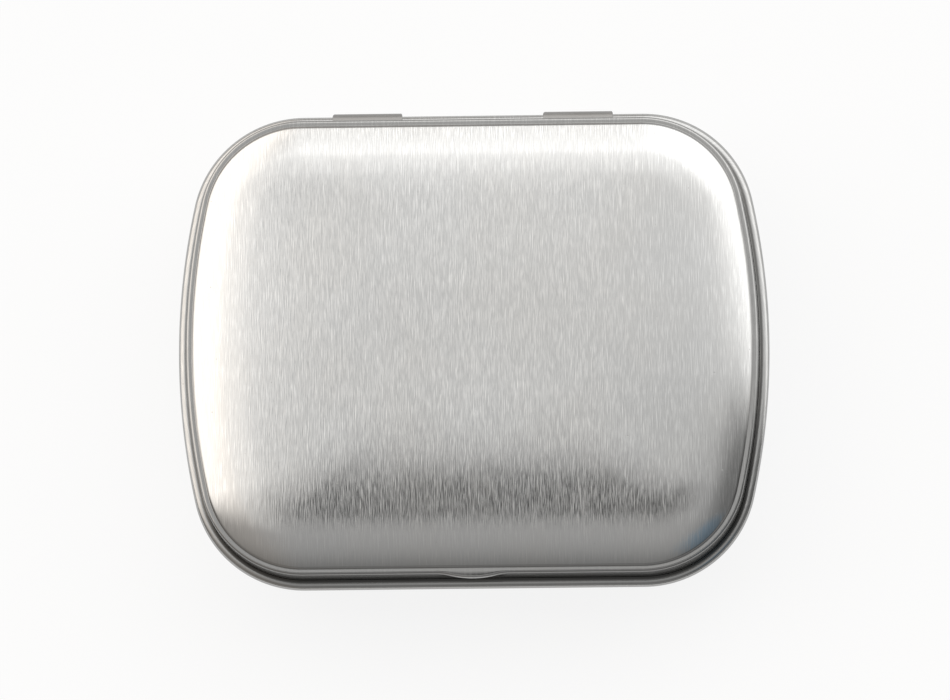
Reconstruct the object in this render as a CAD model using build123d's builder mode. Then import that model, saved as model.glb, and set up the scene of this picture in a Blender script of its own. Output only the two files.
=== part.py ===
"""A small hinged mint tin pressed from thin sheet: a pillow-topped lid over a tray-shaped base.

The lid has a raised pillow panel, a narrow ledge round it, a short skirt and an outward roll along
the skirt's lower edge. The base is a tray with a stiffening bead under that roll and an inward
roll at its rim, on which the lid's ledge rests. Two tongues of the base's back wall pass out
through slots in the lid's skirt and wrap the lid's roll, and that is the hinge.

Millimetres. The origin is on the resting face, under the middle of the plan. +X runs along the
tin to the right, +Y to the hinged back, +Z up. Insets are measured from the outline of the roll,
which is the tin's outermost edge.
"""

import os
from math import atan2, cos, degrees, radians, sin, sqrt

from build123d import *

# Plan, over the lid's roll
tin_length = 60.0
tin_width = 48.5
side_bow_radius = 71.5
corner_radius = 11.4

# Sheet and heights
sheet = 0.25
hinge_height = 9.2
ledge_height = 13.6

# Lid: roll, ledge and pillow, with radii on the sheet's outer face
roll_radius = 0.62
roll_turn = 298.0
shoulder_radius = 0.3
ledge_fall_angle = 2.0
ledge_flat = 0.14
valley_radius = 0.12
pillow_edge_angle = 52.0
pillow_edge_radius = 1.1
pillow_border_angle = 28.0
pillow_border_radius = 10.0
pillow_crown_angle = 10.0
panel_corner_radius = 0.3
panel_lap = 1.0

# Lid: thumb lip pressed out of the skirt under the ledge, at the middle of the front
lip_length = 7.6
lip_reach = 0.46
lip_height = 2.0
lip_drop = 0.12
lip_edge_radius = 0.2
lip_tail_share = 0.38

# Base: tray, stiffening bead, rolled-in rim
lid_clearance = 0.25
seat_gap = 0.02
tray_corner_radius = 2.6
rest_ring_width = 2.0
panel_rise = 0.4
panel_step_angle = 40.0
bead_drop = 1.6
bead_radius = 0.38
bead_angle = 50.0
rim_roll_radius = 0.42
rim_roll_turn = 255.0

# Hinges: tongues of the base, slots in the lid
hinge_spacing = 21.4
tongue_width = 7.1
tongue_clearance = 0.06
tongue_bend_radius = 0.32
tongue_wrap = 212.0
slot_clearance = 0.25
slot_height = 1.15
notch_clearance = 0.3

half_sheet = sheet / 2
half_length = tin_length / 2
half_width = tin_width / 2

# The corner arcs touch the straight front and back and the bowed ends, so their centres follow
corner_y = half_width - corner_radius
end_centre_x = half_length - side_bow_radius
corner_x = end_centre_x + sqrt((side_bow_radius - corner_radius) ** 2 - corner_y**2)
end_angle = degrees(atan2(corner_y, corner_x - end_centre_x))

# Insets of the sheet's middle in the lid's skirt and the base's wall, and what follows from them
skirt_line = 2 * roll_radius - half_sheet
skirt_face = skirt_line - half_sheet
wall_line = 2 * roll_radius + lid_clearance + half_sheet
wall_face = wall_line - half_sheet
lid_panel_inset = corner_radius - panel_corner_radius - panel_lap
rim_height = ledge_height - sheet - seat_gap
bead_height = hinge_height - bead_drop
tongue_radius = roll_radius + tongue_clearance + half_sheet
hinge_places = {"left": -hinge_spacing / 2, "right": hinge_spacing / 2}

# Upright plane at the middle of the front, in which x is the inset and y the height
front_section = Plane(origin=(0, -half_width, 0), x_dir=(0, 1, 0), z_dir=(1, 0, 0))


def draw_outline(inset):
    """Draws the plan outline, set in by inset, into the open line builder."""
    front_right = Line((0, inset - half_width), (corner_x, inset - half_width))
    corner = CenterArc((corner_x, -corner_y), corner_radius - inset, -90, 90 - end_angle)
    end = CenterArc((end_centre_x, 0), side_bow_radius - inset, -end_angle, end_angle)
    mirror([front_right, corner, end], about=Plane.XZ)
    mirror(about=Plane.YZ)


def draw_lip_plan(depth):
    """Draws the lip in plan: a hump with drawn-out tails, on a strip that goes depth inwards."""
    turn = 2 * degrees(atan2(lip_reach, lip_length / 2))
    both_radii = lip_length / 2 / sin(radians(turn))
    tail_radius = both_radii * lip_tail_share
    face_y = skirt_face - half_width
    left_tail = JernArc((-lip_length / 2, face_y), (1, 0), tail_radius, -turn)
    hump = JernArc(left_tail @ 1, left_tail % 1, both_radii - tail_radius, 2 * turn)
    right_tail = JernArc(hump @ 1, hump % 1, tail_radius, -turn)
    inner_right = (lip_length / 2, face_y + depth)
    inner_left = (-lip_length / 2, face_y + depth)
    Polyline(right_tail @ 1, inner_right, inner_left, left_tail @ 0)


def draw_lip_section(depth):
    """Draws the lip in section: flat on top, round at the edge, sloping back to the skirt."""
    top = ledge_height - lip_drop
    foot = top - lip_height
    flat = Line((skirt_face + depth, top), (skirt_face - lip_reach + lip_edge_radius, top))
    nose = JernArc(flat @ 1, (-1, 0), lip_edge_radius, 90)
    Polyline(nose @ 1, (skirt_face, foot), (skirt_face + depth, foot), flat @ 0)


def lip_form(depth, setback):
    """The lip as a solid that goes depth inwards from the skirt's face, moved in and down."""
    with BuildPart() as form:
        with BuildSketch(Plane((0, setback, 0))):
            with BuildLine():
                draw_lip_plan(depth)
            make_face()
        extrude(amount=ledge_height)
        section_origin = (0, setback - half_width, -setback)
        with BuildSketch(Plane(origin=section_origin, x_dir=(0, 1, 0), z_dir=(1, 0, 0))):
            with BuildLine():
                draw_lip_section(depth)
            make_face()
        extrude(amount=lip_length, both=True, mode=Mode.INTERSECT)
    return form.part


with BuildLine() as tin_outline:
    draw_outline(0)
outline_path = tin_outline.wires()[0]

# Lid
lip = lip_form(half_sheet, 0)
lip_hollow = lip_form(2 * sheet, sheet)
with BuildPart() as lid:
    with BuildSketch(front_section):
        with BuildLine():
            roll_centre = (roll_radius, hinge_height)
            CenterArc(roll_centre, roll_radius - half_sheet, -roll_turn, roll_turn)
            skirt_top = (skirt_line, ledge_height - shoulder_radius)
            Line((skirt_line, hinge_height), skirt_top)
            ledge_turn = 90 + ledge_fall_angle
            ledge = JernArc(skirt_top, (0, 1), shoulder_radius - half_sheet, -ledge_turn)
            ledge_end = (ledge @ 1) + (ledge % 1) * ledge_flat
            Line(ledge @ 1, ledge_end)
            valley_turn = ledge_fall_angle + pillow_edge_angle
            valley = JernArc(ledge_end, ledge % 1, valley_radius + half_sheet, valley_turn)
            edge_turn = pillow_border_angle - pillow_edge_angle
            edge = JernArc(valley @ 1, valley % 1, pillow_edge_radius - half_sheet, edge_turn)
            border_turn = pillow_crown_angle - pillow_border_angle
            border = JernArc(edge @ 1, edge % 1, pillow_border_radius - half_sheet, border_turn)
            crown_reach = lid_panel_inset - (border @ 1).X
            crown_radius = crown_reach / sin(radians(pillow_crown_angle))
            crown = JernArc(border @ 1, border % 1, crown_radius, -pillow_crown_angle)
            Line(crown @ 1, (crown @ 1) + (panel_lap, 0))
            lid_panel_height = (crown @ 1).Y
        trace(line_width=sheet)
    sweep(path=outline_path)
    with BuildSketch(Plane.XY.offset(lid_panel_height - half_sheet)):
        with BuildLine():
            draw_outline(lid_panel_inset)
        make_face()
    extrude(amount=sheet)
    add(lip)
    add(lip_hollow, mode=Mode.SUBTRACT)
    for hinge_x in hinge_places.values():
        with Locations((hinge_x, half_width - skirt_face, hinge_height)):
            slot_width = tongue_width + 2 * slot_clearance
            slot_corner = (Align.CENTER, Align.MAX, Align.MIN)
            Box(slot_width, 2 * sheet, slot_height, align=slot_corner, mode=Mode.SUBTRACT)

# Base
with BuildPart() as base:
    with BuildSketch(front_section):
        with BuildLine():
            rim_centre = (wall_face + rim_roll_radius, rim_height - rim_roll_radius)
            rim_start = 180 - rim_roll_turn
            CenterArc(rim_centre, rim_roll_radius - half_sheet, rim_start, rim_roll_turn)
            bend_radius = bead_radius - half_sheet
            bead_reach = 2 * bend_radius * sin(radians(bead_angle))
            bead_top = (wall_line, bead_height + bead_reach)
            Line((wall_line, rim_height - rim_roll_radius), bead_top)
            bead_out = JernArc(bead_top, (0, -1), bend_radius, -bead_angle)
            bead = JernArc(bead_out @ 1, bead_out % 1, bend_radius, 2 * bead_angle)
            bead_in = JernArc(bead @ 1, bead % 1, bend_radius, -bead_angle)
            wall = Line(bead_in @ 1, (wall_line, tray_corner_radius))
            corner = JernArc(wall @ 1, (0, -1), tray_corner_radius - half_sheet, 90)
            rest_ring = Line(corner @ 1, (corner @ 1) + (rest_ring_width, 0))
            step_radius = panel_rise / 2 / (1 - cos(radians(panel_step_angle)))
            step_up = JernArc(rest_ring @ 1, (1, 0), step_radius, panel_step_angle)
            step_in = JernArc(step_up @ 1, step_up % 1, step_radius, -panel_step_angle)
            Line(step_in @ 1, (step_in @ 1) + (panel_lap, 0))
            base_panel_inset = (step_in @ 1).X
        trace(line_width=sheet)
    sweep(path=outline_path)
    with BuildSketch(Plane.XY.offset(panel_rise)):
        with BuildLine():
            draw_outline(base_panel_inset)
        make_face()
    extrude(amount=sheet)
    for hinge_x in hinge_places.values():
        with Locations((hinge_x, half_width - wall_face, hinge_height)):
            notch_width = tongue_width + 2 * notch_clearance
            notch_corner = (Align.CENTER, Align.MAX, Align.MIN)
            notch_depth = 3 * rim_roll_radius
            notch_height = ledge_height - hinge_height
            Box(notch_width, notch_depth, notch_height, align=notch_corner, mode=Mode.SUBTRACT)

# Hinge tongues
hinge_tabs = {}
for side, hinge_x in hinge_places.items():
    back_section = Plane(origin=(hinge_x, half_width, 0), x_dir=(0, -1, 0), z_dir=(-1, 0, 0))
    with BuildPart() as tab:
        with BuildSketch(back_section):
            with BuildLine():
                tongue_top = hinge_height + tongue_radius
                root_end = (wall_line, tongue_top - tongue_bend_radius)
                Line((wall_line, hinge_height), root_end)
                bend = JernArc(root_end, (0, 1), tongue_bend_radius, 90)
                Line(bend @ 1, (roll_radius, tongue_top))
                JernArc((roll_radius, tongue_top), (-1, 0), tongue_radius, tongue_wrap)
            trace(line_width=sheet)
        extrude(amount=tongue_width / 2, both=True)
    hinge_tabs[f"hinge_tab_{side}"] = tab.part

os.makedirs("parts", exist_ok=True)
for name, piece in {"base": base.part, "lid": lid.part, **hinge_tabs}.items():
    piece.label = name
    export_step(piece, f"parts/{name}.step")
    box = piece.bounding_box()
    print(f"{name}: {len(piece.solids())} solid, volume {piece.volume:.1f}, valid {piece.is_valid}")
    print(f"  from {box.min} to {box.max}")
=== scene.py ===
"""Dresses the mint tin: lid, base and hinge tongues as formed tinplate, on a pale floor in soft light."""

from math import asin, atan, atan2, ceil, cos, degrees, radians, sin, sqrt, tan

import bmesh
import bpy
from mathutils import Matrix, Vector


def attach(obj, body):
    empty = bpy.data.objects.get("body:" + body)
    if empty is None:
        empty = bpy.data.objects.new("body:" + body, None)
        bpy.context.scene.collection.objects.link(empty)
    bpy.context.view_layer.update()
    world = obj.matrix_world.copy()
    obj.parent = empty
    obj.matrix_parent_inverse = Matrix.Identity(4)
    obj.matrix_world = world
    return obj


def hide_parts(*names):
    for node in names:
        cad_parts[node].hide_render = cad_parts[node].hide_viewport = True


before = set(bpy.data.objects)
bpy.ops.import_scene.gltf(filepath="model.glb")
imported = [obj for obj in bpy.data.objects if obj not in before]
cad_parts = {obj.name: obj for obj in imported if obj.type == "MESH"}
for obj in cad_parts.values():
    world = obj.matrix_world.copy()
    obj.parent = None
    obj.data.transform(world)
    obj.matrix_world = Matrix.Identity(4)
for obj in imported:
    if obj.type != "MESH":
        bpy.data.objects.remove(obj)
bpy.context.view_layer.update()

# Lengths below are in millimetres, as in the part's source, and become metres in the meshes
MM = 0.001

# Plan, over the lid's roll
TIN_LENGTH = 60.0
TIN_WIDTH = 48.5
SIDE_BOW_RADIUS = 71.5
CORNER_RADIUS = 11.4

# Sheet and heights
SHEET = 0.25
HINGE_HEIGHT = 9.2
LEDGE_HEIGHT = 13.6

# Lid section
ROLL_RADIUS = 0.62
ROLL_TURN = 303.0
SHOULDER_RADIUS = 0.27
LEDGE_FLAT = 0.28
VALLEY_RADIUS = 0.12
PILLOW_EDGE_ANGLE = 44.0
PILLOW_EDGE_RADIUS = 0.95
PILLOW_BORDER_ANGLE = 28.0
PILLOW_BORDER_RADIUS = 8.8
PILLOW_CROWN_ANGLE = 7.0
PILLOW_CROWN_RADIUS = 45.0

# Crown of the lid's panel: from this inset on, curves run from the border to the middle of the tin.
# They leave the border square to it, pass over an ellipse and climb ever more gently
CROWN_INSET = 6.5
CROWN_LEAD = 2.0
CROWN_ELLIPSE_SHARE = 0.75
CROWN_EASE = 4.5
CROWN_ROWS = 24

# Thumb lip
LIP_LENGTH = 7.6
LIP_REACH = 0.46
LIP_HEIGHT = 2.0
LIP_DROP = 0.12
LIP_TAIL_SHARE = 0.38
# Headings of the shoulder's bend, in degrees, between which the lip's top runs out
LIP_FOLD = (60.0, 84.0)
# Shares of the lip's height between which it slopes back to the skirt
LIP_SLOPE = (0.15, 1.0)
# How much less painted shade the lip's tip gets than the skirt around it, so that it shows lighter
LIP_SHADE_LOSS_SHARE = 0.35

# Base section
LID_CLEARANCE = 0.25
SEAT_GAP = 0.02
TRAY_CORNER_RADIUS = 2.6
REST_RING_WIDTH = 2.0
PANEL_RISE = 0.4
PANEL_STEP_ANGLE = 40.0
BEAD_DROP = 1.6
BEAD_RADIUS = 0.38
BEAD_ANGLE = 50.0
RIM_ROLL_RADIUS = 0.42
RIM_ROLL_TURN = 255.0

# Hinges
HINGE_SPACING = 21.4
TONGUE_WIDTH = 7.1
TONGUE_CLEARANCE = 0.06
TONGUE_BEND_RADIUS = 0.32
TONGUE_WRAP = 212.0
# How much the tongue narrows towards its tip, and the headings between which it does so
TONGUE_TAPER_SHARE = 0.12
TONGUE_TAPER_FOLD = (215.0, 330.0)
TONGUE_EASING = 0.04
TONGUE_EASING_ANGLE = 50.0
SLOT_CLEARANCE = 0.25
SLOT_HEIGHT = 1.15
NOTCH_CLEARANCE = 0.3

# Painted shade, a darkening painted into the metal's colour where folds, skirt and roll show dark
# reflections, from 0 for bright metal to 1, at the outer and the inner end of each part of a section.
# The parts of the roll and of the shoulder also have the share of the bend that they take up
ROLL_PAINTED_SHADE = ((0.2, 0.45, 0.3), (0.2, 0.3, 0.6), (0.6, 0.6, 0.7))
SKIRT_PAINTED_SHADE = (0.7, 1.0)
SHOULDER_PAINTED_SHADE = ((0.6, 1.0, 0.6), (0.4, 0.5, 0.45))
LEDGE_PAINTED_SHADE = (0.45, 0.5)
VALLEY_PAINTED_SHADE = (0.5, 0.8)
PILLOW_EDGE_PAINTED_SHADE = (0.8, 0.0)
PILLOW_PAINTED_SHADE = (0.0, 0.0)
BASE_RIM_PAINTED_SHADE = (0.1, 0.4)
BASE_BEAD_PAINTED_SHADE = (0.4, 0.4)
BASE_WALL_PAINTED_SHADE = (0.2, 0.1)
BASE_FOOT_PAINTED_SHADE = (0.1, 0.3)
BASE_PANEL_PAINTED_SHADE = (0.4, 0.0)
# Painted shade over the whole of each hinge tongue
TONGUE_PAINTED_SHADE = 0.7

# Fineness of the meshes: steps in millimetres on straight runs and in degrees in bends
STRAIGHT_STEP = 0.8
LIP_STEP = 0.18
CORNER_STEPS = 30
END_STEPS = 34
RUN_STEP = 1.0
BEND_STEP = 10.0
SLOT_STEP = 0.3
SKIRT_STEP = 0.1
SHOULDER_STEP = 4.0
LEDGE_STEP = 0.05
VALLEY_STEP = 5.0
PILLOW_STEP = 2.0
CROWN_STEP = 1.0
BASE_RIM_STEP = 0.5
SHARP_ANGLE = 35.0

# Brushed tinplate, with the sizes of its grain across and along in millimetres
FINE_GRAIN = (0.065, 1.9, 1)
BROAD_GRAIN = (0.12, 4.2, 1)
BROAD_GRAIN_SEED = 11
FINE_GRAIN_SHARE = 0.65
CLOUDS = (9.0, 12.0, 1)
CLOUD_SEED = 23
GRAIN_SPAN = (0.44, 0.74)
CLOUD_SPAN = (0.3, 0.7)
GRAIN_LIGHT = (0.82, 0.82, 0.81, 1)
GRAIN_DARK = (0.60, 0.60, 0.595, 1)
CLOUD_COLOUR = (0.62, 0.60, 0.57, 1)
CLOUD_SHARE = 0.2
# Colour of the painted shade, the darkening painted into the lid's folds, skirt and roll
PAINTED_SHADE_COLOUR = (0.12, 0.117, 0.113, 1)
# Painted shade on the front border: between these places the grain's light streaks are cut back to the
# first share, so the front of the lid is darker
FRONT_SHADE_SPAN = (-19.0, -17.8)
FRONT_SHADE_SHARES = (0.35, 1.0)
PIT_SPACING = 3.2
PIT_RADIUS = 0.07
PIT_COLOUR = (0.16, 0.15, 0.14, 1)
PIT_SHARE = 0.5
# Cells of the pattern whose chance lies past this span hold a pit
PIT_CHANCE = (0.64, 0.7)
LID_ROUGHNESS = (0.09, 0.125)
LID_PAINTED_SHADE_ROUGHNESS = 0.05
# Strength of the grain's relief on bright metal and where painted shade is laid on, and the painted shade
# between them
RELIEF_STRENGTHS = (0.6, 0.08)
RELIEF_PAINTED_SHADE = (0.0, 0.1)
RELIEF_HEIGHT = 0.02

# Plain tinplate
ROLLING_LINES = (0.14, 5.0, 1)
ROLLING_LINE_SEED = 5
SHEEN_CLOUDS = (6.0, 9.0, 1)
SHEEN_CLOUD_SEED = 31
PLAIN_DARK = (0.56, 0.55, 0.535, 1)
PLAIN_LIGHT = (0.64, 0.64, 0.63, 1)
# Colour of the painted shade on the base and the hinge tongues
PLAIN_PAINTED_SHADE_COLOUR = (0.17, 0.165, 0.16, 1)
PLAIN_ROUGHNESS = (0.20, 0.30)
PLAIN_PAINTED_SHADE_ROUGHNESS = 0.2
PLAIN_RELIEF_STRENGTH = 0.25
PLAIN_RELIEF_HEIGHT = 0.015

# Floor, in metres, and how much of its tone is plain white instead of answering to light and shadow
FLOOR_SIZE = 6.0
FLOOR_DROP = 0.00002
FLOOR_COLOUR = (0.93, 0.93, 0.93, 1)
FLOOR_ROUGHNESS = 0.9
FLOOR_GLOW_SHARE = 0.85
WHITE = (1.0, 1.0, 1.0, 1)

# Studio surroundings, as levels by direction. How far a direction leans across (to the right) and to
# the back is measured against its rise, and sideways is the lean across squeezed into -1 to 1. Each
# row of four holds the two places between which something changes, and its values there
LEAST_RISE = 0.05
GREY_BY_BACK = (-0.055, -1.37, 0.482, 0.237)
GREY_BY_SIDE = (0.257, 0.706, 1.0, 0.43)
# Dark gap overhead, which the panel shows as a band near the front
GAP_SLANT = -0.19
GAP_FRONT_END = (-0.08, 0.0, 0.0, 1.0)
GAP_BACK_END = (0.108, 0.068, 0.0, 1.0)
GAP_LEFT_END = (-0.105, -0.05, 0.0, 0.9)
GAP_RIGHT_END = (0.023, 0.089, 1.0, 0.0)
# White panels at the back, the right and the left
BACK_PANEL_EDGE = (0.069, 0.182, 0.0, 0.458)
BACK_PANEL_BODY = (0.185, 0.584, 0.0, 0.852)
RIGHT_PANEL_BY_BACK = (-0.02, 0.273, 0.0, 0.784)
RIGHT_PANEL_BY_SIDE = (0.0, 0.94, 0.0, 1.0)
LEFT_PANEL_SLANT = 0.512
LEFT_PANEL_BY_BACK = (-0.103, 0.561, 0.0, 1.0)
LEFT_PANEL_BY_SIDE = (-0.116, -0.162, 0.0, 1.0)
LEFT_PANEL_LEVEL = 1.9
# Dimmer stripe between the left panel and the back panel
STRIPE_LEFT_END = (-0.5, -0.3, 0.0, 1.0)
STRIPE_RIGHT_END = (-0.06, -0.12, 0.0, 1.0)
STRIPE_LOSS = (0.2, 1.3, 0.487, 0.779)
STRIPE_FRONT_END = (0.1, 0.3, 0.0, 1.0)
# Low parts: dimmer at the back, lighter in front, told by the height of the direction itself
LOW_BACK_BY_BACK = (1.7, 3.0, 0.0, 1.0)
LOW_BACK_BY_HEIGHT = (0.5, 0.3, 0.0, 0.6)
LOW_FRONT_FOOT = (0.1, 0.2, 0.0, 1.0)
LOW_FRONT_TOP = (0.5, 0.4, 0.0, 0.4)
LOW_FRONT_BY_BACK = (0.0, -0.35, 0.0, 1.0)
BRIGHTEST = 1.8
# Tints: warm on the left, and a small blue patch to the front right
WARM_BY_SIDE = (-0.05, -0.5, 0.0, 1.0)
PLAIN_TINT = (1.0, 0.998, 0.99, 1)
WARM_TINT = (1.03, 0.975, 0.915, 1)
BLUE_TINT = (0.8, 1.04, 1.26, 1)
BLUE_DIRECTION = (0.54, -0.49, 0.69)
BLUE_NEARNESS = (0.965, 0.993, 0.0, 1.0)

# Camera: the image, where the outline's middle lies in it, and how it looks at the tin
IMAGE_WIDTH = 950
IMAGE_HEIGHT = 700
OUTLINE_MIDDLE_PX = (474.05, 351.9)
PX_PER_MM = 9.857
TILT_TO_FRONT = 8.4
TILT_TO_RIGHT = 2.85
CAMERA_ROLL = 0.25
CAMERA_DISTANCE = 2000.0
CAMERA_CLIP_END = 20
SENSOR_WIDTH = 36.0

HALF_SHEET = SHEET / 2
HALF_LENGTH = TIN_LENGTH / 2
HALF_WIDTH = TIN_WIDTH / 2
CORNER_Y = HALF_WIDTH - CORNER_RADIUS
END_CENTRE_X = HALF_LENGTH - SIDE_BOW_RADIUS
CORNER_X = END_CENTRE_X + sqrt((SIDE_BOW_RADIUS - CORNER_RADIUS) ** 2 - CORNER_Y**2)
END_ANGLE = degrees(atan2(CORNER_Y, CORNER_X - END_CENTRE_X))
SKIRT_LINE = 2 * ROLL_RADIUS - HALF_SHEET
WALL_LINE = 2 * ROLL_RADIUS + LID_CLEARANCE + HALF_SHEET
WALL_FACE = WALL_LINE - HALF_SHEET
RIM_HEIGHT = LEDGE_HEIGHT - SHEET - SEAT_GAP
BEAD_HEIGHT = HINGE_HEIGHT - BEAD_DROP
TONGUE_RADIUS = ROLL_RADIUS + TONGUE_CLEARANCE + HALF_SHEET
HINGE_PLACES = {"left": -HINGE_SPACING / 2, "right": HINGE_SPACING / 2}
SLOT_HALF = TONGUE_WIDTH / 2 + SLOT_CLEARANCE
NOTCH_HALF = TONGUE_WIDTH / 2 + NOTCH_CLEARANCE


class Pen:
    """Draws the middle line of a bent sheet as points (inset, height), with headings in degrees."""

    def __init__(self, inset, height, heading):
        self.points = [(inset, height, heading)]
        self.painted_shade = [0.0]

    @property
    def last(self):
        return len(self.points) - 1

    def go(self, length, step=RUN_STEP):
        """Runs straight on for length, with points no further apart than step."""
        inset, height, heading = self.points[-1]
        count = max(1, ceil(length / step))
        along = (cos(radians(heading)), sin(radians(heading)))
        for k in range(1, count + 1):
            reach = length * k / count
            self.points.append((inset + along[0] * reach, height + along[1] * reach, heading))

    def turn(self, radius, angle, step=BEND_STEP):
        """Bends by angle degrees, to the left if positive, on a middle line of that radius."""
        inset, height, heading = self.points[-1]
        side = 1 if angle > 0 else -1
        centre_inset = inset - side * radius * sin(radians(heading))
        centre_height = height + side * radius * cos(radians(heading))
        count = max(3, ceil(abs(angle) / step))
        for k in range(1, count + 1):
            now = heading + angle * k / count
            x = centre_inset + side * radius * sin(radians(now))
            z = centre_height - side * radius * cos(radians(now))
            self.points.append((x, z, now))

    def paint_shade(self, start, end):
        """Gives the points since the last such call a painted shade that goes from start to end."""
        first = len(self.painted_shade)
        fresh = len(self.points) - first
        self.painted_shade += [start + (end - start) * (k + 1) / fresh for k in range(fresh)]


def spaced(places, step):
    """The places, with evenly spaced ones between them about step apart."""
    result = [places[0]]
    for low, high in zip(places, places[1:]):
        count = max(1, round(abs(high - low) / step))
        result += [low + (high - low) * k / count for k in range(1, count + 1)]
    return result


def outline_stations():
    """(x, y, normal x, normal y) round the outline, anticlockwise from the front's left corner."""
    lip_half = LIP_LENGTH / 2
    front = spaced([-CORNER_X, -lip_half], STRAIGHT_STEP)[:-1]
    front += spaced([-lip_half, lip_half], LIP_STEP)
    front += spaced([lip_half, CORNER_X], STRAIGHT_STEP)[1:]
    edges = [CORNER_X]
    for middle in (HINGE_SPACING / 2, -HINGE_SPACING / 2):
        edges += [middle + NOTCH_HALF, middle + SLOT_HALF, middle - SLOT_HALF, middle - NOTCH_HALF]
    edges.append(-CORNER_X)
    stations = [(x, -HALF_WIDTH, 0.0, -1.0) for x in front]
    stations += arc_stations(CORNER_X, -CORNER_Y, CORNER_RADIUS, -90, -END_ANGLE, CORNER_STEPS)
    stations += arc_stations(END_CENTRE_X, 0, SIDE_BOW_RADIUS, -END_ANGLE, END_ANGLE, END_STEPS)
    stations += arc_stations(CORNER_X, CORNER_Y, CORNER_RADIUS, END_ANGLE, 90, CORNER_STEPS)
    stations += [(x, HALF_WIDTH, 0.0, 1.0) for x in spaced(edges, STRAIGHT_STEP)[1:]]
    back = 180 - END_ANGLE
    stations += arc_stations(-CORNER_X, CORNER_Y, CORNER_RADIUS, 90, back, CORNER_STEPS)
    stations += arc_stations(-END_CENTRE_X, 0, SIDE_BOW_RADIUS, back, 360 - back, END_STEPS)
    stations += arc_stations(-CORNER_X, -CORNER_Y, CORNER_RADIUS, 360 - back, 270, CORNER_STEPS)
    return stations[:-1]


def arc_stations(centre_x, centre_y, radius, start, end, count):
    """Stations along an arc of the outline, without the one at its start."""
    result = []
    for k in range(1, count + 1):
        angle = radians(start + (end - start) * k / count)
        normal = (cos(angle), sin(angle))
        place = (centre_x + radius * normal[0], centre_y + radius * normal[1])
        result.append((*place, *normal))
    return result


def lip_push(x, inset, height, heading):
    """How far the thumb lip stands out from the skirt at this place along the front."""
    if inset > SKIRT_LINE + SHOULDER_RADIUS - HALF_SHEET or abs(x) >= LIP_LENGTH / 2:
        return 0.0
    turn = 2 * atan(LIP_REACH / (LIP_LENGTH / 2))
    both_radii = LIP_LENGTH / 2 / sin(turn)
    tail_radius = both_radii * LIP_TAIL_SHARE
    hump_radius = both_radii - tail_radius
    if abs(x) < hump_radius * sin(turn):
        plan = LIP_REACH - hump_radius + sqrt(hump_radius**2 - x**2)
    else:
        from_end = LIP_LENGTH / 2 - abs(x)
        plan = tail_radius - sqrt(tail_radius**2 - from_end**2)
    below = LEDGE_HEIGHT - LIP_DROP - height
    kept = 1 - smooth_step(*LIP_SLOPE, below / LIP_HEIGHT)
    return plan * smooth_step(*LIP_FOLD, heading) * kept


def smooth_step(low, high, value):
    """0 below low, 1 above high, and a smooth rise between them."""
    t = min(1.0, max(0.0, (value - low) / (high - low)))
    return t * t * (3 - 2 * t)


def side_columns(mesh, pen, side, flat_place, with_lip, with_crown):
    """The vertices of one face of a formed sheet, as a column for each station of the outline."""
    painted_shade = mesh.verts.layers.float["painted_shade"]
    line = pen.points
    length = [0.0]
    for (x0, z0, _), (x1, z1, _) in zip(line, line[1:]):
        length.append(length[-1] + sqrt((x1 - x0) ** 2 + (z1 - z0) ** 2))
    flat_inset = [line[-1][0] - (length[-1] - reached) for reached in length]
    columns = []
    for x, y, normal_x, normal_y in outline_stations():
        column = []
        for (inset, height, heading), laid_out, shade_level in zip(line, flat_inset, pen.painted_shade):
            out = inset - side * HALF_SHEET * sin(radians(heading))
            z = height + side * HALF_SHEET * cos(radians(heading))
            if with_lip and normal_y == -1.0:
                push = lip_push(x, inset, z, heading)
                out -= push
                # The lip's tip gets less of the painted shade, so it shows lighter
                shade_level *= 1 - LIP_SHADE_LOSS_SHARE * push / LIP_REACH
            vertex = mesh.verts.new(Vector((x - normal_x * out, y - normal_y * out, z)) * MM)
            vertex[painted_shade] = shade_level
            column.append(vertex)
            flat_place[vertex] = (x - normal_x * laid_out, y - normal_y * laid_out)
        if with_crown:
            edge = (x - normal_x * out, y - normal_y * out)
            for place in crown_places(edge, (normal_x, normal_y), z, line[-1][2]):
                vertex = mesh.verts.new(Vector(place) * MM)
                column.append(vertex)
                flat_place[vertex] = place[:2]
        columns.append(column)
    return columns


def cut_cells(cuts):
    """Which (station, row) cells of a sheet fall in its cuts along the straight back."""
    stations = outline_stations()
    result = set()
    for low, high, first, last in cuts:
        for i, (x, _, _, normal_y) in enumerate(stations):
            following = stations[(i + 1) % len(stations)]
            inside = low - 1e-6 < min(x, following[0]) and max(x, following[0]) < high + 1e-6
            if normal_y == 1.0 and following[3] == 1.0 and inside:
                result |= {(i, j) for j in range(first, last)}
    return result


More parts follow.
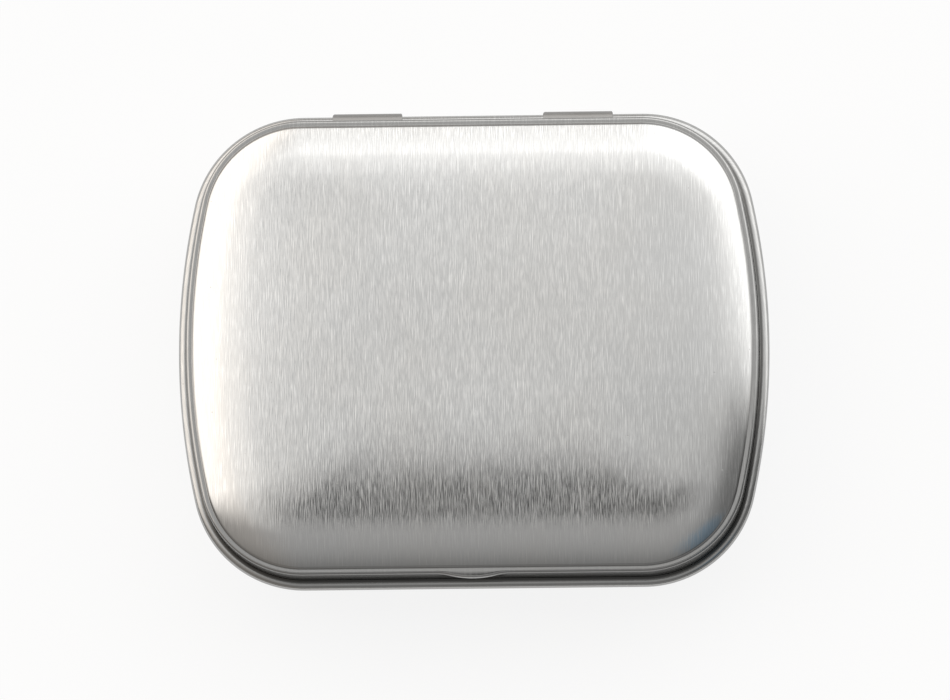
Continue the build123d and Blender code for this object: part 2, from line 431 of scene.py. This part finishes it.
def formed_sheet(name, pen, cuts, with_lip=False, with_crown=False):
    """A closed mesh of sheet bent along the pen's line and carried round the outline, with a panel.

    cuts holds (low x, high x, first row, last row) for each opening in the back.
    """
    mesh = bmesh.new()
    flat = mesh.loops.layers.uv.new("flat_sheet")
    mesh.verts.layers.float.new("painted_shade")
    flat_place = {}
    left = side_columns(mesh, pen, 1, flat_place, with_lip, with_crown)
    right = side_columns(mesh, pen, -1, flat_place, with_lip, with_crown)
    cut = cut_cells(cuts)
    count = len(left)
    for i in range(count):
        k = (i + 1) % count
        for j in range(len(left[0]) - 1):
            if (i, j) not in cut:
                mesh.faces.new((left[i][j], left[k][j], left[k][j + 1], left[i][j + 1]))
                mesh.faces.new((right[i][j], right[i][j + 1], right[k][j + 1], right[k][j]))
        if (i, 0) not in cut:
            mesh.faces.new((left[i][0], right[i][0], right[k][0], left[k][0]))
    for i, j in cut:
        k = (i + 1) % count
        if ((i - 1) % count, j) not in cut:
            mesh.faces.new((left[i][j], left[i][j + 1], right[i][j + 1], right[i][j]))
        if (k, j) not in cut:
            mesh.faces.new((left[k][j], right[k][j], right[k][j + 1], left[k][j + 1]))
        if (i, j + 1) not in cut:
            mesh.faces.new((left[i][j + 1], left[k][j + 1], right[k][j + 1], right[i][j + 1]))
        if j > 0 and (i, j - 1) not in cut:
            mesh.faces.new((left[i][j], right[i][j], right[k][j], left[k][j]))
    mesh.faces.new([column[-1] for column in left])
    mesh.faces.new([column[-1] for column in reversed(right)])
    for face in mesh.faces:
        for loop in face.loops:
            u, v = flat_place[loop.vert]
            loop[flat].uv = (u * MM, v * MM)
    loose = [vertex for vertex in mesh.verts if not vertex.link_faces]
    bmesh.ops.delete(mesh, geom=loose, context="VERTS")
    return finished(name, mesh)


def crown_places(edge, normal, height, slope):
    """Places on the crowned panel from a point of its edge towards the middle of the tin."""
    half_size = (HALF_LENGTH - CROWN_INSET, HALF_WIDTH - CROWN_INSET)
    rise = tan(radians(slope)) * half_size[1] / CROWN_EASE
    bearing = atan2(edge[1] / half_size[1], edge[0] / half_size[0])
    ellipse = (half_size[0] * cos(bearing), half_size[1] * sin(bearing))
    result = []
    for k in range(1, CROWN_ROWS + 1):
        t = k / (CROWN_ROWS + 1)
        shares = ((1 - t) ** 3, 3 * t * (1 - t) ** 2, 3 * t * t * (1 - t) * CROWN_ELLIPSE_SHARE)
        place = []
        for start, outward, round_start in zip(edge, normal, ellipse):
            lead = start - outward * CROWN_LEAD
            place.append(shares[0] * start + shares[1] * lead + shares[2] * round_start)
        left = shares[0] + shares[1] * (1 - CROWN_LEAD / half_size[1]) + shares[2]
        result.append((*place, height + rise * (1 - left**CROWN_EASE)))
    return result


def finished(name, mesh):
    """Turns a bmesh into a smooth-shaded object with its tight edges kept sharp."""
    bmesh.ops.recalc_face_normals(mesh, faces=mesh.faces)
    data = bpy.data.meshes.new(name)
    mesh.to_mesh(data)
    mesh.free()
    data.shade_smooth()
    data.set_sharp_from_angle(angle=radians(SHARP_ANGLE))
    piece = bpy.data.objects.new(name, data)
    bpy.context.scene.collection.objects.link(piece)
    return piece


def lid_line():
    """The lid's section, from the roll's free edge to the crown, and the rows of the hinge slots."""
    free_edge = radians(360 - ROLL_TURN)
    radius = ROLL_RADIUS - HALF_SHEET
    start = (ROLL_RADIUS + radius * cos(free_edge), HINGE_HEIGHT + radius * sin(free_edge))
    pen = Pen(*start, 450 - ROLL_TURN)
    for share, *ends in ROLL_PAINTED_SHADE:
        pen.turn(radius, ROLL_TURN * share)
        pen.paint_shade(*ends)
    slot_foot = pen.last
    pen.go(SLOT_HEIGHT, step=SLOT_STEP)
    slot_top = pen.last
    pen.go(LEDGE_HEIGHT - SHOULDER_RADIUS - HINGE_HEIGHT - SLOT_HEIGHT, step=SKIRT_STEP)
    pen.paint_shade(*SKIRT_PAINTED_SHADE)
    for share, *ends in SHOULDER_PAINTED_SHADE:
        pen.turn(SHOULDER_RADIUS - HALF_SHEET, -90 * share, step=SHOULDER_STEP)
        pen.paint_shade(*ends)
    pen.go(LEDGE_FLAT, step=LEDGE_STEP)
    pen.paint_shade(*LEDGE_PAINTED_SHADE)
    pen.turn(VALLEY_RADIUS + HALF_SHEET, PILLOW_EDGE_ANGLE, step=VALLEY_STEP)
    pen.paint_shade(*VALLEY_PAINTED_SHADE)
    edge_turn = PILLOW_BORDER_ANGLE - PILLOW_EDGE_ANGLE
    pen.turn(PILLOW_EDGE_RADIUS - HALF_SHEET, edge_turn, step=PILLOW_STEP)
    pen.paint_shade(*PILLOW_EDGE_PAINTED_SHADE)
    border_turn = PILLOW_CROWN_ANGLE - PILLOW_BORDER_ANGLE
    pen.turn(PILLOW_BORDER_RADIUS - HALF_SHEET, border_turn, step=PILLOW_STEP)
    crown_share = (CROWN_INSET - pen.points[-1][0]) / PILLOW_CROWN_RADIUS
    crown_end = degrees(asin(sin(radians(PILLOW_CROWN_ANGLE)) - crown_share))
    pen.turn(PILLOW_CROWN_RADIUS, crown_end - PILLOW_CROWN_ANGLE, step=CROWN_STEP)
    pen.paint_shade(*PILLOW_PAINTED_SHADE)
    return pen, slot_foot, slot_top


def base_line():
    """The base's section, from the rim's free edge to the bottom panel, and the notches' foot row."""
    radius = RIM_ROLL_RADIUS - HALF_SHEET
    free_edge = radians(180 - RIM_ROLL_TURN)
    centre = (WALL_FACE + RIM_ROLL_RADIUS, RIM_HEIGHT - RIM_ROLL_RADIUS)
    start = (centre[0] + radius * cos(free_edge), centre[1] + radius * sin(free_edge))
    pen = Pen(*start, 270 - RIM_ROLL_TURN)
    pen.turn(radius, RIM_ROLL_TURN)
    pen.go(centre[1] - HINGE_HEIGHT)
    notch_foot = pen.last
    bend_radius = BEAD_RADIUS - HALF_SHEET
    bead_reach = 2 * bend_radius * sin(radians(BEAD_ANGLE))
    pen.go(HINGE_HEIGHT - BEAD_HEIGHT - bead_reach, step=BASE_RIM_STEP)
    pen.paint_shade(*BASE_RIM_PAINTED_SHADE)
    for angle in (-BEAD_ANGLE, 2 * BEAD_ANGLE, -BEAD_ANGLE):
        pen.turn(bend_radius, angle)
    pen.paint_shade(*BASE_BEAD_PAINTED_SHADE)
    pen.go(BEAD_HEIGHT - bead_reach - TRAY_CORNER_RADIUS)
    pen.paint_shade(*BASE_WALL_PAINTED_SHADE)
    pen.turn(TRAY_CORNER_RADIUS - HALF_SHEET, 90)
    pen.go(REST_RING_WIDTH)
    pen.paint_shade(*BASE_FOOT_PAINTED_SHADE)
    step_radius = PANEL_RISE / 2 / (1 - cos(radians(PANEL_STEP_ANGLE)))
    pen.turn(step_radius, PANEL_STEP_ANGLE)
    pen.turn(step_radius, -PANEL_STEP_ANGLE)
    pen.paint_shade(*BASE_PANEL_PAINTED_SHADE)
    return pen, notch_foot


def make_lid(metal):
    """The lid, with its hinge slots and thumb lip."""
    pen, slot_foot, slot_top = lid_line()
    cuts = [(x - SLOT_HALF, x + SLOT_HALF, slot_foot, slot_top) for x in HINGE_PLACES.values()]
    piece = formed_sheet("lid_formed", pen, cuts, with_lip=True, with_crown=True)
    piece.data.materials.append(metal)
    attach(piece, "lid")
    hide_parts("lid")


def make_base(metal):
    """The base, notched beside its hinge tongues."""
    pen, notch_foot = base_line()
    cuts = [(x - NOTCH_HALF, x + NOTCH_HALF, 0, notch_foot) for x in HINGE_PLACES.values()]
    piece = formed_sheet("base_formed", pen, cuts)
    piece.data.materials.append(metal)
    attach(piece, "base")
    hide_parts("base")


def make_tongue(side, hinge_x, metal):
    """One hinge tongue: a strip from the base's wall, out over the lid's roll and round under it."""
    pen = Pen(WALL_LINE, HINGE_HEIGHT, 90)
    pen.go(TONGUE_RADIUS - TONGUE_BEND_RADIUS)
    pen.turn(TONGUE_BEND_RADIUS, 90)
    pen.go(WALL_LINE - TONGUE_BEND_RADIUS - ROLL_RADIUS)
    pen.turn(TONGUE_RADIUS, TONGUE_WRAP)
    mesh = bmesh.new()
    flat = mesh.loops.layers.uv.new("flat_sheet")
    painted_shade = mesh.verts.layers.float.new("painted_shade")
    loops = []
    for edge, offset in ((-0.5, HALF_SHEET), (0.5, HALF_SHEET), (0.5, -HALF_SHEET), (-0.5, -HALF_SHEET)):
        row = []
        for inset, height, heading in pen.points:
            out = inset - offset * sin(radians(heading))
            z = height + offset * cos(radians(heading))
            width = TONGUE_WIDTH * (1 - TONGUE_TAPER_SHARE * smooth_step(*TONGUE_TAPER_FOLD, heading))
            vertex = mesh.verts.new(Vector((hinge_x + edge * width, HALF_WIDTH - out, z)) * MM)
            vertex[painted_shade] = TONGUE_PAINTED_SHADE
            row.append(vertex)
        loops.append(row)
    for first, second in zip(loops, loops[1:] + loops[:1]):
        for j in range(len(first) - 1):
            mesh.faces.new((first[j], first[j + 1], second[j + 1], second[j]))
    for end in (0, -1):
        mesh.faces.new([row[end] for row in loops])
    for face in mesh.faces:
        for loop in face.loops:
            loop[flat].uv = (loop.vert.co.x, loop.vert.co.y + loop.vert.co.z)
    piece = finished(f"hinge_tongue_{side}", mesh)
    bevel = piece.modifiers.new("eased_edges", "BEVEL")
    bevel.width = TONGUE_EASING * MM
    bevel.segments = 2
    bevel.limit_method = "ANGLE"
    bevel.angle_limit = radians(TONGUE_EASING_ANGLE)
    piece.data.materials.append(metal)
    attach(piece, "base")
    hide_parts(f"hinge_tab_{side}")


class Graph:
    """Adds and links shader nodes with few words."""

    def __init__(self, tree):
        self.tree = tree

    def put(self, socket, value):
        """Gives a node's input a link or a value."""
        if isinstance(value, bpy.types.NodeSocket):
            self.tree.links.new(value, socket)
        else:
            socket.default_value = value

    def add(self, kind, inputs=(), **settings):
        """A node of that kind, with its settings and with values or links for its inputs."""
        node = self.tree.nodes.new(kind)
        for key, value in settings.items():
            setattr(node, key, value)
        for key, value in dict(inputs).items():
            self.put(node.inputs[key], value)
        return node

    def math(self, operation, first, second=0.0, clamp=False):
        """The result of a math node."""
        node = self.add("ShaderNodeMath", {0: first, 1: second}, operation=operation, use_clamp=clamp)
        return node.outputs[0]

    def total(self, *terms):
        """The sum of the terms."""
        result = terms[0]
        for term in terms[1:]:
            result = self.math("ADD", result, term)
        return result

    def product(self, *factors):
        """The product of the factors."""
        result = factors[0]
        for factor in factors[1:]:
            result = self.math("MULTIPLY", result, factor)
        return result

    def step(self, value, low, high, start=0.0, end=1.0):
        """A smooth change from start to end as value goes from low to high."""
        node = self.add("ShaderNodeMapRange", {"Value": value}, interpolation_type="SMOOTHSTEP")
        for key, number in zip(("From Min", "From Max", "To Min", "To Max"), (low, high, start, end)):
            node.inputs[key].default_value = number
        return node.outputs[0]

    def noise(self, place, sizes, detail=2.0, roughness=0.5, seed=0.0):
        """Noise whose features measure sizes, in millimetres along each axis."""
        scale = [1 / (MM * size) for size in sizes]
        inputs = {"Vector": place, "Scale": scale, "Location": (seed, seed, 0)}
        mapped = self.add("ShaderNodeMapping", inputs).outputs[0]
        inputs = {"Vector": mapped, "Scale": 1.0, "Detail": detail, "Roughness": roughness}
        return self.add("ShaderNodeTexNoise", inputs).outputs["Fac"]

    def pits(self, place, spacing, radius):
        """Scattered round marks, in about a third of the cells of that spacing, and their depth."""
        inputs = {"Vector": place, "Scale": 1 / (spacing * MM)}
        cells = self.add("ShaderNodeTexVoronoi", inputs, voronoi_dimensions="2D")
        chance = self.add("ShaderNodeSeparateColor", {0: cells.outputs["Color"]}).outputs
        size = self.product(chance[1], radius / spacing)
        reach = self.math("DIVIDE", cells.outputs["Distance"], size)
        near = self.math("SUBTRACT", 1.0, reach, clamp=True)
        near = self.product(near, self.step(chance[0], *PIT_CHANCE))
        return self.step(near, 0.0, 0.5), near

    def mix(self, factor, first, second):
        """A mix of two colours."""
        node = self.add("ShaderNodeMix", data_type="RGBA")
        for place, value in ((0, factor), (6, first), (7, second)):
            self.put(node.inputs[place], value)
        return node.outputs[2]

    def painted_shade(self):
        """The painted shade that the mesh carries, which darkens the metal's colour."""
        return self.add("ShaderNodeAttribute", attribute_name="painted_shade").outputs["Fac"]

    def flat_sheet(self):
        """The place on the sheet as it lay before it was formed."""
        return self.add("ShaderNodeUVMap", uv_map="flat_sheet").outputs[0]


def new_metal(name):
    """An empty node material for metal, its graph and its shader's inputs."""
    material = bpy.data.materials.new(name)
    material.use_nodes = True
    inputs = material.node_tree.nodes["Principled BSDF"].inputs
    inputs["Metallic"].default_value = 1.0
    return material, Graph(material.node_tree), inputs


def brushed_tinplate():
    """Tinplate with a fine grain that runs from front to back, painted shade in its folds and on its front
    border.
    """
    material, graph, shader = new_metal("brushed_tinplate")
    place = graph.flat_sheet()
    painted_shade = graph.painted_shade()
    fine = graph.noise(place, FINE_GRAIN, detail=1.0, roughness=0.6)
    broad = graph.noise(place, BROAD_GRAIN, detail=1.0, seed=BROAD_GRAIN_SEED)
    cloud = graph.noise(place, CLOUDS, seed=CLOUD_SEED)
    grain = graph.total(
        graph.product(fine, FINE_GRAIN_SHARE),
        graph.product(broad, 1 - FINE_GRAIN_SHARE),
    )
    along = graph.add("ShaderNodeSeparateXYZ", {0: place}).outputs[1]
    # Painted shade on the front border: the grain's light streaks are cut back there
    front_shade = graph.step(along, *(place_mm * MM for place_mm in FRONT_SHADE_SPAN), *FRONT_SHADE_SHARES)
    colour = graph.mix(graph.product(graph.step(grain, *GRAIN_SPAN), front_shade), GRAIN_DARK, GRAIN_LIGHT)
    colour = graph.mix(graph.step(cloud, *CLOUD_SPAN, 0.0, CLOUD_SHARE), colour, CLOUD_COLOUR)
    # Painted shade: the colour darkens as far as the mesh's painted shade reaches
    colour = graph.mix(painted_shade, colour, PAINTED_SHADE_COLOUR)
    pits, depth = graph.pits(place, PIT_SPACING, PIT_RADIUS)
    colour = graph.mix(graph.product(pits, PIT_SHARE), colour, PIT_COLOUR)
    graph.put(shader["Base Color"], colour)
    polish = graph.step(broad, *CLOUD_SPAN, *LID_ROUGHNESS)
    graph.put(shader["Roughness"], graph.total(polish, graph.product(painted_shade, LID_PAINTED_SHADE_ROUGHNESS)))
    relief = {
        "Height": graph.math("SUBTRACT", grain, depth),
        "Strength": graph.step(painted_shade, *RELIEF_PAINTED_SHADE, *RELIEF_STRENGTHS),
        "Distance": RELIEF_HEIGHT * MM,
    }
    graph.put(shader["Normal"], graph.add("ShaderNodeBump", relief).outputs[0])
    return material


def plain_tinplate():
    """Smoother tinplate with faint rolling lines and a soft uneven sheen."""
    material, graph, shader = new_metal("plain_tinplate")
    place = graph.flat_sheet()
    painted_shade = graph.painted_shade()
    lines = graph.noise(place, ROLLING_LINES, detail=3.0, roughness=0.6, seed=ROLLING_LINE_SEED)
    cloud = graph.noise(place, SHEEN_CLOUDS, detail=3.0, seed=SHEEN_CLOUD_SEED)
    colour = graph.mix(graph.step(cloud, *CLOUD_SPAN), PLAIN_DARK, PLAIN_LIGHT)
    # Painted shade: the colour darkens as far as the mesh's painted shade reaches
    graph.put(shader["Base Color"], graph.mix(painted_shade, colour, PLAIN_PAINTED_SHADE_COLOUR))
    polish = graph.step(cloud, *CLOUD_SPAN, *PLAIN_ROUGHNESS)
    graph.put(shader["Roughness"], graph.total(polish, graph.product(painted_shade, PLAIN_PAINTED_SHADE_ROUGHNESS)))
    relief = {
        "Height": lines,
        "Strength": PLAIN_RELIEF_STRENGTH,
        "Distance": PLAIN_RELIEF_HEIGHT * MM,
    }
    graph.put(shader["Normal"], graph.add("ShaderNodeBump", relief).outputs[0])
    return material


def make_floor():
    """A pale matt floor under the tin, which looks plain white where no shadow falls on it."""
    bpy.ops.mesh.primitive_plane_add(size=FLOOR_SIZE, location=(0, 0, -FLOOR_DROP))
    floor = bpy.context.object
    floor.name = "floor"
    material = bpy.data.materials.new("pale_floor")
    material.use_nodes = True
    shader = material.node_tree.nodes["Principled BSDF"]
    shader.inputs["Base Color"].default_value = FLOOR_COLOUR
    shader.inputs["Roughness"].default_value = FLOOR_ROUGHNESS
    shader.inputs["Specular IOR Level"].default_value = 0.0
    graph = Graph(material.node_tree)
    rays = graph.add("ShaderNodeLightPath").outputs
    seen = graph.math("MAXIMUM", rays["Is Camera Ray"], rays["Is Glossy Ray"])
    seen = graph.math("MAXIMUM", seen, rays["Is Transmission Ray"])
    share = graph.product(seen, FLOOR_GLOW_SHARE)
    white = graph.add("ShaderNodeEmission", {"Color": WHITE, "Strength": 1.0})
    mixed = graph.add("ShaderNodeMixShader", {0: share, 1: shader.outputs[0], 2: white.outputs[0]})
    graph.put(material.node_tree.nodes["Material Output"].inputs[0], mixed.outputs[0])
    floor.data.materials.append(material)


def make_world():
    """Soft studio surroundings: white panels at the back and the sides, grey above and in front."""
    world = bpy.data.worlds.new("studio")
    bpy.context.scene.world = world
    world.use_nodes = True
    graph = Graph(world.node_tree)
    direction = graph.add("ShaderNodeTexCoord").outputs["Generated"]
    x, y, z = graph.add("ShaderNodeSeparateXYZ", {0: direction}).outputs
    rise = graph.math("MAXIMUM", z, LEAST_RISE)
    across = graph.math("DIVIDE", x, rise)
    back = graph.math("DIVIDE", y, rise)
    squeeze = graph.math("POWER", graph.total(graph.product(across, across), 1.0), -0.5)
    side = graph.product(across, squeeze)

    grey = graph.product(graph.step(back, *GREY_BY_BACK), graph.step(side, *GREY_BY_SIDE))
    slanted = graph.total(back, graph.product(across, GAP_SLANT))
    gap = graph.product(
        graph.step(slanted, *GAP_FRONT_END),
        graph.step(slanted, *GAP_BACK_END),
        graph.step(across, *GAP_LEFT_END),
        graph.step(across, *GAP_RIGHT_END),
    )
    grey = graph.product(grey, graph.math("SUBTRACT", 1.0, gap))
    behind = graph.total(graph.step(back, *BACK_PANEL_EDGE), graph.step(back, *BACK_PANEL_BODY))
    right = graph.product(
        graph.step(back, *RIGHT_PANEL_BY_BACK),
        graph.step(side, *RIGHT_PANEL_BY_SIDE),
    )
    level = graph.total(grey, behind, right)
    slanted = graph.total(back, graph.product(graph.math("ABSOLUTE", side), LEFT_PANEL_SLANT))
    left = graph.product(
        graph.step(slanted, *LEFT_PANEL_BY_BACK),
        graph.step(side, *LEFT_PANEL_BY_SIDE),
    )
    missing = graph.math("MAXIMUM", graph.math("SUBTRACT", LEFT_PANEL_LEVEL, level), 0.0)
    level = graph.total(level, graph.product(left, missing))
    stripe = graph.product(
        graph.step(across, *STRIPE_LEFT_END),
        graph.step(across, *STRIPE_RIGHT_END),
        graph.step(back, *STRIPE_LOSS),
        graph.step(back, *STRIPE_FRONT_END),
    )
    level = graph.math("SUBTRACT", level, stripe)
    low_back = graph.product(
        graph.step(back, *LOW_BACK_BY_BACK),
        graph.step(z, *LOW_BACK_BY_HEIGHT),
    )
    level = graph.product(level, graph.math("SUBTRACT", 1.0, low_back))
    low_front = graph.product(
        graph.step(z, *LOW_FRONT_FOOT),
        graph.step(z, *LOW_FRONT_TOP),
        graph.step(y, *LOW_FRONT_BY_BACK),
    )
    level = graph.math("MAXIMUM", graph.math("MINIMUM", level, BRIGHTEST), low_front)

    tint = graph.mix(graph.step(side, *WARM_BY_SIDE), PLAIN_TINT, WARM_TINT)
    nearness = graph.add("ShaderNodeVectorMath", {0: direction, 1: BLUE_DIRECTION}, operation="DOT_PRODUCT")
    tint = graph.mix(graph.step(nearness.outputs["Value"], *BLUE_NEARNESS), tint, BLUE_TINT)
    background = world.node_tree.nodes["Background"]
    graph.put(background.inputs["Strength"], level)
    graph.put(background.inputs["Color"], tint)


def make_camera():
    """The photograph's view: a long lens from above, a little from the front and the right."""
    toward = Vector((tan(radians(TILT_TO_RIGHT)), -tan(radians(TILT_TO_FRONT)), 1)).normalized()
    data = bpy.data.cameras.new("camera")
    data.sensor_width = SENSOR_WIDTH
    data.lens = PX_PER_MM * SENSOR_WIDTH * CAMERA_DISTANCE / IMAGE_WIDTH
    data.clip_end = CAMERA_CLIP_END
    camera = bpy.data.objects.new("camera", data)
    bpy.context.scene.collection.objects.link(camera)
    bpy.context.scene.camera = camera
    right = Vector((0, 1, 0)).cross(toward).normalized()
    turn = Matrix((right, toward.cross(right), toward)).transposed()
    turn = turn @ Matrix.Rotation(radians(-CAMERA_ROLL), 3, "Z")
    across = (IMAGE_WIDTH / 2 - OUTLINE_MIDDLE_PX[0]) / PX_PER_MM
    up = (OUTLINE_MIDDLE_PX[1] - IMAGE_HEIGHT / 2) / PX_PER_MM
    aim = Vector((0, 0, HINGE_HEIGHT)) + turn @ Vector((across, up, 0))
    camera.matrix_world = Matrix.Translation((aim + toward * CAMERA_DISTANCE) * MM) @ turn.to_4x4()


lid_metal = brushed_tinplate()
base_metal = plain_tinplate()
make_lid(lid_metal)
make_base(base_metal)
for side, hinge_x in HINGE_PLACES.items():
    make_tongue(side, hinge_x, base_metal)
make_floor()
make_world()
make_camera()
bpy.context.scene.view_settings.view_transform = "Standard"
